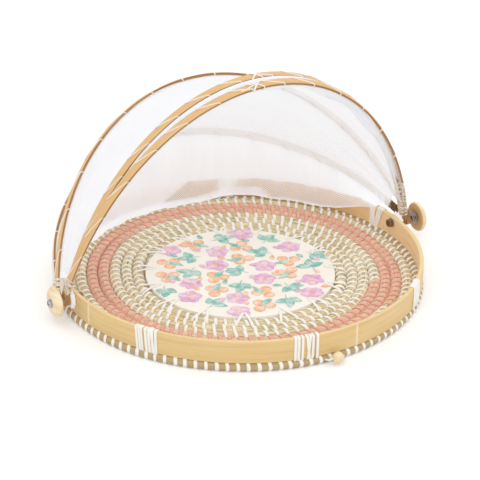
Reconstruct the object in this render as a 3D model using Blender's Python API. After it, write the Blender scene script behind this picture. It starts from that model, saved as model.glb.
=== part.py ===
"""Coiled seagrass tray with a folding net cover on four bamboo bows.

Run it with: blender --background --python part.py
Metres, +Z up. X runs along the hinge line, the front is -Y and the tray rests on z = 0.
The cover stands half open, as in the photograph, and every joint is at its rest value.
"""
import math

import bmesh
import bpy
import numpy as np
from mathutils import Matrix, Vector

# Driving dimensions of the tray
rim_radius = 0.175
rim_wall = 0.004
rim_height = 0.0219
rim_ease = 0.0008
bundle_width = 0.0105
bundle_gap = 0.00057
bundle_overhang = 0.0047
bundle_rows = 8
disc_thickness = 0.0095
lace_hole_d = 0.0026
lace_hole_inset = 0.0085
lace_holes = 15

# Clearance between pieces that touch on the real tray
seat = 0.0003

# Pivot hardware, an M4 bolt at each side
pivot_drop = 0.0065
bolt_d = 0.004
bolt_hole_d = 0.0046
bolt_head_d = 0.008
bolt_head_h = 0.0024
bolt_tip = 0.0009
cross_slot_length = 0.0048
cross_slot_width = 0.0010
cross_slot_depth = 0.0011
knob_d = 0.030
knob_thickness = 0.007
knob_round = 0.0026
nut_flats = 0.007
nut_height = 0.0032
washer_d = 0.009
washer_t = 0.0008
spacer_d = 0.012
spring_length = 0.007
spring_d = 0.0125
spring_wire = 0.001
spring_turns = 4

# Bamboo bows
bow_width = 0.0085
bow_t = 0.0022
bow_ease = 0.0004
bow_step = 0.0027
bow_clear_of_rim = 0.0055
bow_end = 0.0055
bow_flat = 0.0065

# How far the front bow reaches past the rim when closed, and how much less the others do
front_bow_reach = 0.026
second_bow_inset = 0.0045
third_bow_inset = 0.0213
rear_bow_inset = 0.0243

# Each bow: place in the stack on the bolt, inset, start angle of its arc and rest angle
# from the closed front (0 degrees) over the top to the rear (180 degrees)
bow_table = {
    "bow_front": dict(place=1, inset=0, arc_start=math.radians(17.4), angle=math.radians(77.4)),
    "bow_second": dict(place=0, inset=second_bow_inset, arc_start=math.radians(16.2), angle=math.radians(83.6)),
    "bow_third": dict(place=3, inset=third_bow_inset, arc_start=math.radians(14.3), angle=math.radians(121.5)),
    "bow_rear": dict(place=2, inset=rear_bow_inset, arc_start=math.radians(13.9), angle=math.radians(158.9)),
}

# Net, cords and the closing bead
net_t = 0.0006
net_hem_height = 0.0022
net_sag = 0.006
cord_d = 0.0017
wrap_pitch = 0.0028
wraps = 6
bead_d = 0.0105
bead_hole_d = 0.0026
bead_cord_d = 0.0018
bead_cord_reach = 0.0085

# Angles round the tray, counted from +X towards the rear
lashing_angles = {
    "rim_lashing_front_left": math.radians(213),
    "rim_lashing_front": math.radians(260.5),
    "rim_lashing_front_right": math.radians(310),
    "rim_lashing_right": math.radians(8.5),
    "rim_lashing_rear_right": math.radians(67),
    "rim_lashing_rear_left": math.radians(120),
    "rim_lashing_left": math.radians(171),
}
scarf_start = math.radians(113)
scarf_end = math.radians(127)
node_ridges = (math.radians(98), math.radians(189), math.radians(278.5))
node_ridge_height = 0.0003
node_ridge_width = 0.0024
jog_start = math.radians(165)
jog_turn = math.radians(60)
first_lace_hole = math.radians(4)

# Counts of facets
loop_points = 24
rim_points = 96
disc_points = 60
arc_points = 32
knob_points = 32
small_points = 16
curl_points = 10

# Shares of the sizes above
flat_cut_share = 0.1
hex_height_share = math.cos(math.pi / 6)
bead_drop_share = 0.25
tip_width_shares = ((1.0, 0.45), (0.82, 0.78), (0.5, 1.0))
bead_leg_shares = (0.62, 0.9)
bead_ring_points = 8
slot_cutter_share = 4
bolt_crown_shares = ((1.0, 0.45), (0.86, 0.8), (0.5, 1.0))
knob_round_points = 3
nut_sections = 12
lashing_skip = 6
scarf_tip_share = 0.25
ridge_spare_share = 1.5
gore_across_shares = (0.0, 0.2, 0.4, 0.6, 0.8, 1.0)
fold_share = 0.35
hem_rise_share = 0.16

# Heights and radii that follow
bundle_r = bundle_width / 2
bundle_z = bundle_r * hex_height_share - bundle_width * flat_cut_share
bundle_top = bundle_z + bundle_r * hex_height_share
row_pitch = bundle_width + bundle_gap
outer_row_r = rim_radius + bundle_overhang - bundle_r
inner_row_r = outer_row_r - row_pitch * (bundle_rows - 1)
disc_r = inner_row_r * math.cos(math.pi / loop_points) - bundle_r - seat
rim_inner_r = rim_radius - rim_wall
rim_z = bundle_top + seat
rim_top = rim_z + rim_height
pivot_z = rim_top - pivot_drop
cord_r = cord_d / 2
bow_first_x = rim_radius + bow_clear_of_rim + bow_t / 2
stack_end_x = bow_first_x + bow_step * (len(bow_table) - 1) + bow_t / 2
cut_over = bundle_width


def material(name, colour, roughness, metallic=0.0):
    made = bpy.data.materials.new(name)
    made.use_nodes = True
    shader = made.node_tree.nodes["Principled BSDF"]
    shader.inputs["Base Color"].default_value = (*colour, 1)
    shader.inputs["Roughness"].default_value = roughness
    shader.inputs["Metallic"].default_value = metallic
    made.diffuse_color = (*colour, 1)
    return made


def add(name, data, finish, smooth=True):
    """Link an object and give it its own material."""
    obj = bpy.data.objects.new(name, data)
    bpy.context.collection.objects.link(obj)
    data.materials.clear()
    data.materials.append(material(name, *finish))
    if smooth and isinstance(data, bpy.types.Mesh):
        for face in data.polygons:
            face.use_smooth = True
    return obj


def mesh_of(bm, name):
    """Close a bmesh with its faces outward and turn it into mesh data."""
    bmesh.ops.recalc_face_normals(bm, faces=bm.faces)
    data = bpy.data.meshes.new(name)
    bm.to_mesh(data)
    bm.free()
    return data


def loft(name, rings, closed=False):
    """Skin a list of equal rings of points, capped at both ends unless closed."""
    bm = bmesh.new()
    made = [[bm.verts.new(point) for point in ring] for ring in rings]
    count = len(made[0])
    pairs = list(zip(made, made[1:] + made[:1] if closed else made[1:]))
    for first, second in pairs:
        for i in range(count):
            j = (i + 1) % count
            bm.faces.new((first[i], first[j], second[j], second[i]))
    if not closed:
        bm.faces.new(made[0])
        bm.faces.new(made[-1])
    return mesh_of(bm, name)


def turned(name, profile, points):
    """Turn a profile of (radius, x) pairs round the X axis into a ring-shaped solid."""
    rings = []
    for i in range(points):
        angle = 2 * math.pi * i / points
        rings.append([(x, r * math.cos(angle), r * math.sin(angle)) for r, x in profile])
    return loft(name, rings, closed=True)


def tube_data(name, points, diameter, shares=None):
    """A curve object's data with a round bevel along a poly spline."""
    data = bpy.data.curves.new(name, "CURVE")
    data.dimensions = "3D"
    data.twist_mode = "Z_UP"
    data.bevel_depth = diameter / 2
    data.bevel_resolution = 1
    data.use_fill_caps = True
    spline = data.splines.new("POLY")
    spline.points.add(len(points) - 1)
    for i, point in enumerate(points):
        spline.points[i].co = (*point, 1)
        spline.points[i].radius = shares[i] if shares else 1.0
    spline.use_smooth = True
    return data


def cut(obj, cutter):
    """Take a hidden cutter away from an object."""
    cutter.hide_render = True
    cutter.display_type = "WIRE"
    modifier = obj.modifiers.new("cut", "BOOLEAN")
    modifier.operation = "DIFFERENCE"
    modifier.solver = "EXACT"
    modifier.object = cutter
    graph = bpy.context.evaluated_depsgraph_get()
    data = bpy.data.meshes.new_from_object(obj.evaluated_get(graph))
    obj.modifiers.clear()
    old = obj.data
    obj.data = data
    bpy.data.meshes.remove(old)
    bpy.data.objects.remove(cutter)
    return obj


def cylinder_into(bm, radius, length, points, matrix):
    bmesh.ops.create_cone(
        bm, cap_ends=True, segments=points, radius1=radius, radius2=radius, depth=length, matrix=matrix
    )


def box_into(bm, size, matrix):
    bmesh.ops.create_cube(bm, size=1.0, matrix=matrix @ Matrix.Diagonal((*size, 1)))


def cutter_from(bm):
    return add("cutter", mesh_of(bm, "cutter"), plain, smooth=False)


def least_gap(points, diameter, skip, shares=None):
    """Least gap of a wound tube to itself, from its points, leaving out near neighbours."""
    where = np.array([tuple(p) for p in points])
    half = np.array(shares or [1.0] * len(points)) * diameter / 2
    best = float("inf")
    for i in range(len(where) - skip):
        apart = np.linalg.norm(where[i + skip:] - where[i], axis=1)
        best = min(best, (apart - half[i + skip:] - half[i]).min())
    return best


def polar(radius, angle, z):
    return Vector((radius * math.cos(angle), radius * math.sin(angle), z))


# Finishes: colour, roughness and metallic value
plain = ((0.8, 0.8, 0.8), 0.5)
seagrass = ((0.42, 0.33, 0.18), 0.8)
bamboo = ((0.72, 0.48, 0.22), 0.45)
pale_wood = ((0.85, 0.68, 0.44), 0.5)
printed_card = ((0.90, 0.88, 0.80), 0.6)
white_cord = ((0.85, 0.82, 0.75), 0.8)
white_net = ((0.88, 0.86, 0.86), 0.9)
steel = ((0.55, 0.55, 0.56), 0.3, 1.0)
brass = ((0.70, 0.50, 0.22), 0.3, 1.0)


def coil_route():
    """Points and thickness shares of the one bundle that makes the tray floor.

    Each row is a circle that jogs out to the next one over a sixth of a turn. The first
    and the last row taper into that jog, so the tray stays round.
    """
    step = 2 * math.pi / loop_points
    jog_steps = round(jog_turn / step)
    points, shares = [], []
    for i in range(1, jog_steps):
        grown = (row_pitch * i / jog_steps - bundle_gap) / bundle_width
        radius = inner_row_r - bundle_r + bundle_r * grown
        points.append(polar(radius, jog_start - i * step, bundle_z))
        shares.append(grown)
    start = jog_start - jog_turn
    for row in range(bundle_rows):
        for i in range(loop_points - jog_steps):
            points.append(polar(inner_row_r + row * row_pitch, start - i * step, bundle_z))
            shares.append(1.0)
        for i in range(jog_steps):
            share = i / jog_steps
            left = 1.0
            if row == bundle_rows - 1 and i > 0:
                left = (row_pitch * (1 - share) - bundle_gap) / bundle_width
            radius = inner_row_r + (row + share) * row_pitch
            if row == bundle_rows - 1:
                radius = outer_row_r + bundle_r - bundle_r * left
            points.append(polar(radius, jog_start - i * step, bundle_z))
            shares.append(left)
    return points, shares


def make_coil():
    points, shares = coil_route()
    print("coil least gap", least_gap(points, bundle_width, loop_points // 2, shares))
    curve = add("coil_curve", tube_data("coil_curve", points, bundle_width, shares), seagrass)
    graph = bpy.context.evaluated_depsgraph_get()
    data = bpy.data.meshes.new_from_object(curve.evaluated_get(graph))
    bpy.data.objects.remove(curve)
    bm = bmesh.new()
    bm.from_mesh(data)
    bmesh.ops.remove_doubles(bm, verts=bm.verts, dist=bundle_gap / 100)
    coil = add("seagrass_coil", mesh_of(bm, "seagrass_coil"), seagrass)
    # The tray rests on flats, and each lashing beds into the outer row under the rim
    bm = bmesh.new()
    slab = outer_row_r * 2 + bundle_width * 2
    box_into(bm, (slab, slab, cut_over), Matrix.Translation((0, 0, -cut_over / 2)))
    bed_floor = rim_z - seat - cord_d - seat
    bed_in = rim_inner_r - cord_d - seat * 2
    bed_out = outer_row_r + bundle_width
    bed_width = wrap_pitch * wraps + cord_d + seat * 2
    for angle in lashing_angles.values():
        turn = Matrix.Rotation(angle, 4, "Z")
        place = Matrix.Translation(((bed_in + bed_out) / 2, 0, bed_floor + cut_over / 2))
        box_into(bm, (bed_out - bed_in, bed_width, cut_over), turn @ place)
    return cut(coil, cutter_from(bm))


def make_disc():
    """Printed centre disc with a ring of lacing holes."""
    ease = rim_ease / 2
    profile = (
        (disc_r - ease, 0),
        (disc_r, ease),
        (disc_r, disc_thickness - ease),
        (disc_r - ease, disc_thickness),
    )
    rings = []
    for r, z in profile:
        rings.append([polar(r, 2 * math.pi * i / disc_points, z) for i in range(disc_points)])
    disc = add("centre_disc", loft("centre_disc", rings), printed_card, smooth=False)
    bm = bmesh.new()
    for i in range(lace_holes):
        angle = first_lace_hole + 2 * math.pi * i / lace_holes
        place = Matrix.Translation(polar(disc_r - lace_hole_inset, angle, bundle_z))
        cylinder_into(bm, lace_hole_d / 2, disc_thickness * 2, small_points // 2, place)
    return cut(disc, cutter_from(bm))


def strip_section(inner, outer, low, high, ease):
    """Eight corners (radius, z) of a flat strip with eased edges."""
    return (
        (inner, low + ease),
        (inner + ease, low),
        (outer - ease, low),
        (outer, low + ease),
        (outer, high - ease),
        (outer - ease, high),
        (inner + ease, high),
        (inner, high - ease),
    )


def rim_stations():
    """Angle, inner and outer radius of each section of the rim strip, from tip to tip."""
    tip = rim_wall * scarf_tip_share
    step = 2 * math.pi / rim_points
    scarf = scarf_end - scarf_start
    scarf_steps = round(scarf / step)
    butt = seat * 2 / rim_radius
    stations = []
    for i in range(scarf_steps + 1):
        share = i / scarf_steps
        outer = rim_inner_r + tip + (rim_wall - tip * 2) * share - seat / 2
        stations.append((scarf_end - scarf * share, rim_inner_r, outer))
    body = 2 * math.pi - scarf - butt * 2
    body_steps = round(body / step)
    angles = [scarf_start - butt - body * i / body_steps for i in range(body_steps + 1)]
    angles = [(angle, 0.0) for angle in angles]
    half = node_ridge_width / rim_radius / 2
    spare = half * ridge_spare_share
    for ridge in node_ridges:
        around = ridge if ridge < scarf_start - butt else ridge - 2 * math.pi
        angles = [a for a in angles if abs(a[0] - around) > spare]
        angles += [(around - half, 0.0), (around, node_ridge_height), (around + half, 0.0)]
    for angle, ridge_height in sorted(angles, reverse=True):
        stations.append((angle, rim_inner_r, rim_radius + ridge_height))
    for i in range(scarf_steps + 1):
        share = i / scarf_steps
        inner = rim_radius - tip - (rim_wall - tip * 2) * (1 - share) + seat / 2
        stations.append((scarf_end - scarf * share, inner, rim_radius))
    return stations


def make_rim():
    """Bamboo strip bent into a hoop, its skived ends lapped in a scarf."""
    rings = []
    for angle, inner, outer in rim_stations():
        ease = min(rim_ease, (outer - inner) * scarf_tip_share)
        section = strip_section(inner, outer, rim_z, rim_top, ease)
        rings.append([polar(r, angle, z) for r, z in section])
    rim = add("bamboo_rim", loft("bamboo_rim", rings), bamboo)
    bm = bmesh.new()
    across = Matrix.Translation((0, 0, pivot_z)) @ Matrix.Rotation(math.pi / 2, 4, "Y")
    cylinder_into(bm, bolt_hole_d / 2, rim_radius * 2 + rim_wall * 2, small_points, across)
    return cut(rim, cutter_from(bm))


def lashing_route(middle):
    """Centre line of one lashing: a cord wound round the rim strip."""
    off = seat + cord_r
    low, high = rim_z - off, rim_top + off
    inner, outer = rim_inner_r - off, rim_radius + off
    bend = cord_r
    corners = (
        (inner, low + bend), (inner, high - bend), (inner + bend, high), (outer - bend, high),
        (outer, high - bend), (outer, low + bend), (outer - bend, low), (inner + bend, low),
    )
    points = []
    total = wraps * len(corners) - 2
    for i in range(total + 1):
        radius, z = corners[i % len(corners)]
        along = (i / len(corners) - total / len(corners) / 2) * wrap_pitch
        points.append(polar(radius, middle + along / rim_radius, z))
    return points


def make_lashings():
    for name, middle in lashing_angles.items():
        points = lashing_route(middle)
        add(name, tube_data(name, points, cord_d), white_cord)
    print("lashing least gap", least_gap(points, cord_d, lashing_skip))


def bow_stack_x(bow):
    return bow_first_x + bow["place"] * bow_step


def bow_height(bow):
    return rim_radius + front_bow_reach - bow["inset"]


def bow_arc(bow, points):
    """Half-angle positions, x and height of the arc above the flat ends."""
    start = bow["arc_start"]
    half_span = bow_stack_x(bow) / math.cos(start)
    rise = (bow_height(bow) - bow_flat) / (1 - math.sin(start))
    line = []
    for i in range(points + 1):
        at = start + (math.pi - 2 * start) * i / points
        line.append((half_span * math.cos(at), bow_flat + rise * (math.sin(at) - math.sin(start))))
    return line


def bow_line(bow):
    """Centre line in the bow's own plane as x, height and share of the full width."""
    half = bow_stack_x(bow)
    ends = [(half, -bow_end * drop, width) for drop, width in tip_width_shares]
    ends.append((half, 0.0, 1.0))
    arc = [(x, height, 1.0) for x, height in bow_arc(bow, arc_points)]
    return ends + arc + [(-x, height, width) for x, height, width in reversed(ends)]


def on_bow(bow, x, height, outward, sideways, line_slope):
    """World place of a point by the bow: off its face and towards the rear."""
    angle = bow["angle"]
    nx, nh = line_slope
    height = height + nh * outward
    y = -height * math.cos(angle) + sideways * math.sin(angle)
    z = pivot_z + height * math.sin(angle) + sideways * math.cos(angle)
    return Vector((x + nx * outward, y, z))


def outward_normals(line):
    """Unit normals in the bow's plane that point away from the tray."""
    normals = []
    for i in range(len(line)):
        before, after = line[max(i - 1, 0)], line[min(i + 1, len(line) - 1)]
        dx, dh = after[0] - before[0], after[1] - before[1]
        length = math.hypot(dx, dh)
        normals.append((dh / length, -dx / length))
    return normals


def make_bow(name, bow):
    """Split bamboo strip bent into a bow, with a bolt hole through each flat end."""
    line = bow_line(bow)
    normals = outward_normals(line)
    half_t = bow_t / 2
    rings = []
    for (x, height, share), slope in zip(line, normals):
        half_w = bow_width / 2 * share
        section = strip_section(-half_t, half_t, -half_w, half_w, bow_ease)
        rings.append([on_bow(bow, x, height, off, side, slope) for off, side in section])
    obj = add(name, loft(name, rings), bamboo)
    bm = bmesh.new()
    across = Matrix.Translation((0, 0, pivot_z)) @ Matrix.Rotation(math.pi / 2, 4, "Y")
    cylinder_into(bm, bolt_hole_d / 2, stack_end_x * 2 + rim_wall, small_points, across)
    cut(obj, cutter_from(bm))
    obj.data.transform(Matrix.Translation((0, 0, -pivot_z)))
    obj.location = (0, 0, pivot_z)
    return obj


def sheet_solid(name, grid, thickness, finish):
    """A thin closed solid about a grid of points."""
    rows, columns = len(grid), len(grid[0])
    front, back = [], []
    for i in range(rows):
        front.append([])
        back.append([])
        for j in range(columns):
            along = grid[min(i + 1, rows - 1)][j] - grid[max(i - 1, 0)][j]
            across = grid[i][min(j + 1, columns - 1)] - grid[i][max(j - 1, 0)]
            normal = along.cross(across).normalized() * (thickness / 2)
            front[i].append(grid[i][j] + normal)
            back[i].append(grid[i][j] - normal)
    rings = [front[i] + back[i][::-1] for i in range(rows)]
    return add(name, loft(name, rings), finish)


def gore_edge(bow, skipped, rearward):
    """Two lines of net on a bow: near the middle of its outer face and past its edge.

    They stand on the bow's own stations, so the net's facets run level with the bow's.
    """
    line = bow_arc(bow, arc_points)
    normals = outward_normals(line)
    side = 1 if rearward else -1
    lift = bow_t / 2 + seat + net_t / 2
    near = net_t / 2
    past = bow_width / 2 + seat + net_t / 2
    edge = [
        [on_bow(bow, x, h, lift, side * near, n), on_bow(bow, x, h, lift, side * past, n)]
        for (x, h), n in zip(line, normals)
    ]
    return edge[skipped:len(edge) - skipped]


def stations_below(bow, least_height):
    """How many stations at each end of the arc lie too low for net beside the bow."""
    return sum(height < least_height for _, height in bow_arc(bow, arc_points)) // 2


def room_height(first, second):
    """Height on the bows above which their edges leave room for the net between them."""
    gap = abs(second["angle"] - first["angle"])
    return (bow_width + net_t * 4 + seat * 4) / gap


def crowd_height(bow, neighbour):
    """Height above which a neighbour that overlaps the bow leaves half its face free."""
    gap = abs(neighbour["angle"] - bow["angle"])
    return (bow_width / 2 + net_t * 2 + seat * 2) / gap


def make_gore(name, front_bow, rear_bow, dip, crowd=0.0):
    """Net between two bows, over their outer faces and dipping between them."""
    least = max(room_height(front_bow, rear_bow), crowd)
    skipped = max(stations_below(front_bow, least), stations_below(rear_bow, least))
    front = gore_edge(front_bow, skipped, True)
    rear = gore_edge(rear_bow, skipped, False)
    grid = []
    for near, far in zip(front, rear):
        span = (far[1] - near[1]).length
        inward = (Vector((0, 0, pivot_z)) - near[1]).normalized()
        row = [near[0], near[1]]
        for share in gore_across_shares[1:-1]:
            sag = min(dip, span * fold_share) * 4 * share * (1 - share)
            row.append(near[1].lerp(far[1], share) + inward * sag)
        grid.append(row + [far[1], far[0]])
    return sheet_solid(name, grid, net_t, white_net)


def make_rear_net():
    """Net from the rear bow over the rim and down inside it to the hem on the coil."""
    bow = bow_table["bow_rear"]
    lashed = cord_d + seat * 2 + net_t / 2
    inside = rim_inner_r - lashed
    over = rim_top + lashed
    least = over - pivot_z + bow_width
    skipped = stations_below(bow, least / math.sin(bow["angle"]))
    edge = gore_edge(bow, skipped, True)
    grid = []
    for i, (near, past) in enumerate(edge):
        share = i / (len(edge) - 1)
        rise = min(1.0, min(share, 1 - share) / hem_rise_share)
        angle = math.atan2(past.y, past.x)
        lip = polar(inside, angle, over)
        hem = polar(inside, angle, over - net_t - (over - net_t - bundle_top - seat) * rise)
        hem_top = hem.lerp(lip, net_hem_height / rim_height)
        row = [near, past]
        row += [past.lerp(lip, s) for s in gore_across_shares[1:-1]]
        grid.append(row + [lip, lip.lerp(hem, 0.5), hem_top, hem])
    return sheet_solid("net_rear", grid, net_t, white_net)


def make_knob(name, side, inner_x):
    """Turned wooden disc with rounded edges."""
    outer_x = inner_x + knob_thickness
    radius = knob_d / 2
    hole = bolt_hole_d / 2
    profile = [(hole, inner_x), (hole, outer_x)]
    flat = radius - knob_round
    turns = [math.pi / 2 * i / knob_round_points for i in range(knob_round_points + 1)]
    profile += [(flat + knob_round * math.sin(a), outer_x - knob_round * (1 - math.cos(a))) for a in turns]
    profile += [(flat + knob_round * math.cos(a), inner_x + knob_round * (1 - math.sin(a))) for a in turns]
    return place_side(turned(name, profile, knob_points), name, side, pale_wood)


def place_side(data, name, side, finish, smooth=True):
    """Put a part turned about the X axis on the right or, mirrored, on the left."""
    data.transform(Matrix.Diagonal((side, 1, 1, 1)))
    bm = bmesh.new()
    bm.from_mesh(data)
    data = mesh_of(bm, name)
    obj = add(name, data, finish, smooth)
    obj.location = (0, 0, pivot_z)
    return obj


def make_ring(name, side, inner_x, outer_x, diameter, finish):
    profile = [
        (bolt_hole_d / 2, inner_x),
        (bolt_hole_d / 2, outer_x),
        (diameter / 2, outer_x),
        (diameter / 2, inner_x),
    ]
    return place_side(turned(name, profile, small_points), name, side, finish, smooth=False)


def make_nut(name, side, outer_x):
    """Hexagon nut, its flats and bore as one ring of twelve sections."""
    inner_x = outer_x - nut_height
    rings = []
    for i in range(nut_sections):
        angle = 2 * math.pi * i / nut_sections
        reach = nut_flats / 2 / (hex_height_share if i % 2 == 0 else 1.0)
        profile = (
            (bolt_hole_d / 2, inner_x),
            (bolt_hole_d / 2, outer_x),
            (reach, outer_x),
            (reach, inner_x),
        )
        rings.append([(x, r * math.cos(angle), r * math.sin(angle)) for r, x in profile])
    return place_side(loft(name, rings, closed=True), name, side, brass, smooth=False)


def make_bolt(name, side, tip_x, head_x):
    """Pan-head bolt with a cross slot, its head outside the knob."""
    shank = bolt_d / 2
    head = bolt_head_d / 2
    top = head_x + bolt_head_h
    profile = [(shank - bolt_tip / 2, tip_x), (shank, tip_x + bolt_tip), (shank, head_x), (head, head_x)]
    profile += [(head * wide, head_x + bolt_head_h * high) for wide, high in bolt_crown_shares]
    rings = []
    for r, x in profile:
        circle = [2 * math.pi * i / small_points for i in range(small_points)]
        rings.append([(x, r * math.cos(a), r * math.sin(a)) for a in circle])
    obj = place_side(loft(name, rings), name, side, steel, smooth=False)
    bm = bmesh.new()
    middle = Matrix.Translation((side * (top + cross_slot_depth), 0, pivot_z))
    depth = cross_slot_depth * slot_cutter_share
    box_into(bm, (depth, cross_slot_length, cross_slot_width), middle)
    obj = cut(obj, cutter_from(bm))
    bm = bmesh.new()
    box_into(bm, (depth, cross_slot_width, cross_slot_length), middle)
    return cut(obj, cutter_from(bm))


def make_spring(start_x):
    """Compression spring on the right bolt, between the bows and the knob."""
    radius = (spring_d - spring_wire) / 2
    run = spring_length - spring_wire
    total = spring_turns * curl_points
    points = []
    for i in range(total + 1):
        angle = 2 * math.pi * i / curl_points
        x = start_x + spring_wire / 2 + run * i / total
        points.append((x, radius * math.cos(angle), pivot_z + radius * math.sin(angle)))
    print("spring least gap", least_gap(points, spring_wire, curl_points - 2))
    data = tube_data("pivot_spring", points, spring_wire)
    data.twist_mode = "MINIMUM"
    return add("pivot_spring", data, steel)


def make_pivots():
    """Bolt, nut, washer, spacer and knob at each side, and the one visible spring."""
    spacer_in = rim_radius + seat
    spacer_out = bow_first_x - bow_t / 2 - seat
    stack_out = stack_end_x + seat
    nut_face = rim_inner_r * math.cos(math.asin(washer_d / 2 / rim_inner_r)) - seat
    for word, side in (("left", -1), ("right", 1)):
        knob_in = stack_out if side < 0 else stack_out + spring_length + seat
        head_in = knob_in + knob_thickness + seat
        make_ring(f"{word}_spacer", side, spacer_in, spacer_out, spacer_d, pale_wood)
        make_ring(f"{word}_washer", side, nut_face - washer_t, nut_face, washer_d, steel)
        nut_out = nut_face - washer_t - seat
        make_nut(f"{word}_nut", side, nut_out)
        make_knob(f"{word}_knob", side, knob_in)
        make_bolt(f"{word}_pivot_bolt", side, nut_out - nut_height - bolt_tip, head_in)
    make_spring(stack_out)


def make_bead():
    """Closing bead at the front under the rim, threaded on a short cord."""
    reach = bead_d / 2
    edge = outer_row_r + bundle_r
    middle = Vector((0, -(edge + reach - bundle_r * bead_drop_share), bundle_top))
    rings = []
    hole = bead_hole_d / 2
    first = math.asin(hole / reach)
    profile = []
    for i in range(bead_ring_points + 1):
        at = first + (math.pi - 2 * first) * i / bead_ring_points
        profile.append((reach * math.sin(at), -reach * math.cos(at)))
    for i in range(small_points):
        angle = 2 * math.pi * i / small_points
        rings.append([(x, r * math.cos(angle), r * math.sin(angle)) for r, x in profile])
    data = loft("closure_bead", rings, closed=True)
    bead = add("closure_bead", data, pale_wood)
    bead.location = middle
    out = bead_cord_reach
    fall = out * math.tan(math.pi / loop_points)
    near = -(edge - fall + seat + bead_cord_d / 2)
    half_way = ((middle.y + near) / 2, (middle.z + bundle_z) / 2)
    points = [(0, middle.y, middle.z)]
    for side in (-1, 1):
        leg = [(side * out * bead_leg_shares[0], middle.y, middle.z)]
        leg.append((side * out * bead_leg_shares[1], *half_way))
        leg.append((side * out, near, bundle_z))
        points = leg[::-1] + points if side < 0 else points + leg
    add("bead_cord", tube_data("bead_cord", points, bead_cord_d), white_cord)


def main():
    for obj in list(bpy.data.objects):
        bpy.data.objects.remove(obj)
    make_coil()
    make_disc()
    make_rim()
    make_lashings()
    for name, bow in bow_table.items():
        make_bow(name, bow)
    make_gore("net_front", bow_table["bow_front"], bow_table["bow_second"], net_sag)
    crowd = crowd_height(bow_table["bow_second"], bow_table["bow_front"])
    make_gore("net_second", bow_table["bow_second"], bow_table["bow_third"], net_sag, crowd)
    make_gore("net_third", bow_table["bow_third"], bow_table["bow_rear"], net_sag)
    make_rear_net()
    make_pivots()
    make_bead()


main()
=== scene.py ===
import math
import random

import bmesh
import bpy
import numpy as np
from mathutils import Matrix, Vector


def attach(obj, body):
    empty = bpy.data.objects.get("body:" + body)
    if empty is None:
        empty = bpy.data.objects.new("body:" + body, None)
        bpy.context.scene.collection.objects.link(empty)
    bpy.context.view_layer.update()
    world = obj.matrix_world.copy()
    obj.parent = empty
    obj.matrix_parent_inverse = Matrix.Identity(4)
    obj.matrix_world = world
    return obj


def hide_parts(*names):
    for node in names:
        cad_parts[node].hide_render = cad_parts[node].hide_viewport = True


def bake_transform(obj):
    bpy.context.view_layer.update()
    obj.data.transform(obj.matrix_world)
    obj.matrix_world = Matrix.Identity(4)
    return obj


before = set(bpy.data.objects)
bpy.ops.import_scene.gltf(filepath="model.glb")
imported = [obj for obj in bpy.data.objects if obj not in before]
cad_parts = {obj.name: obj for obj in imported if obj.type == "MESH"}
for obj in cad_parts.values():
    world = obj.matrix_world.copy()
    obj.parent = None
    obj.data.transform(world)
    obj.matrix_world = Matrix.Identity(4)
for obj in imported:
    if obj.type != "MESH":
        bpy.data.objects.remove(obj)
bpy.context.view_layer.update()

tau = 2 * math.pi
scene = bpy.context.scene
scene.view_settings.view_transform = "Standard"
random.seed(7)

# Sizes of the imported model, in metres
rim_outer = 0.175
rim_inner = 0.171
rim_low = 0.00834
rim_top = 0.03024
pivot_z = 0.023744
hinge_point = np.array((0, 0, pivot_z))
bundle_width = 0.0105
bundle_gap = 0.00057
row_pitch = 0.01107
bundle_rows = 8
inner_row = 0.09696
outer_row = 0.17445
jog_start = math.radians(165)
jog_turn = math.radians(60)
disc_top = 0.0095
disc_reach = 0.0911
lace_reach = 0.08208
first_lace = math.radians(4)
lace_holes = 15
bow_flat = 0.0065
bow_half_width = 0.00425
bow_half_thick = 0.0011
bows = {
    "bow_front": dict(stack=0.1843, height=0.2010, start=17.4, angle=77.4, body="front_bow"),
    "bow_second": dict(stack=0.1816, height=0.1965, start=16.2, angle=83.6, body="second_bow"),
    "bow_third": dict(stack=0.1897, height=0.1797, start=14.3, angle=121.5, body="third_bow"),
    "bow_rear": dict(stack=0.1870, height=0.1767, start=13.9, angle=158.9, body="rear_bow"),
}


def paint(red, green, blue):
    """A linear colour from the three numbers of a screen colour."""
    shares = [c / 255 for c in (red, green, blue)]
    line = [c / 12.92 if c <= 0.04045 else ((c + 0.055) / 1.055) ** 2.4 for c in shares]
    return (*line, 1)


def joined(*coordinates):
    """Points from separate coordinates."""
    return np.stack(np.broadcast_arrays(*coordinates), axis=-1)


def polar(radius, angle, z):
    return joined(radius * np.cos(angle), radius * np.sin(angle), z)


def about_x(x, radius, angle):
    return joined(x, radius * np.cos(angle), radius * np.sin(angle))


def circle(count):
    return tau * np.arange(count) / count


def between(start, end, share):
    return start + (end - start) * share


def way_along(line):
    """Distance along a line up to each of its points."""
    return np.concatenate(([0], np.cumsum(np.linalg.norm(np.diff(line, axis=0), axis=1))))


def linked(name, data):
    """A new object in the scene."""
    obj = bpy.data.objects.new(name, data)
    scene.collection.objects.link(obj)
    return obj


def unit(vectors):
    return vectors / np.linalg.norm(vectors, axis=-1, keepdims=True)


def smooth(share):
    share = np.clip(share, 0, 1)
    return share * share * (3 - 2 * share)


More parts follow.
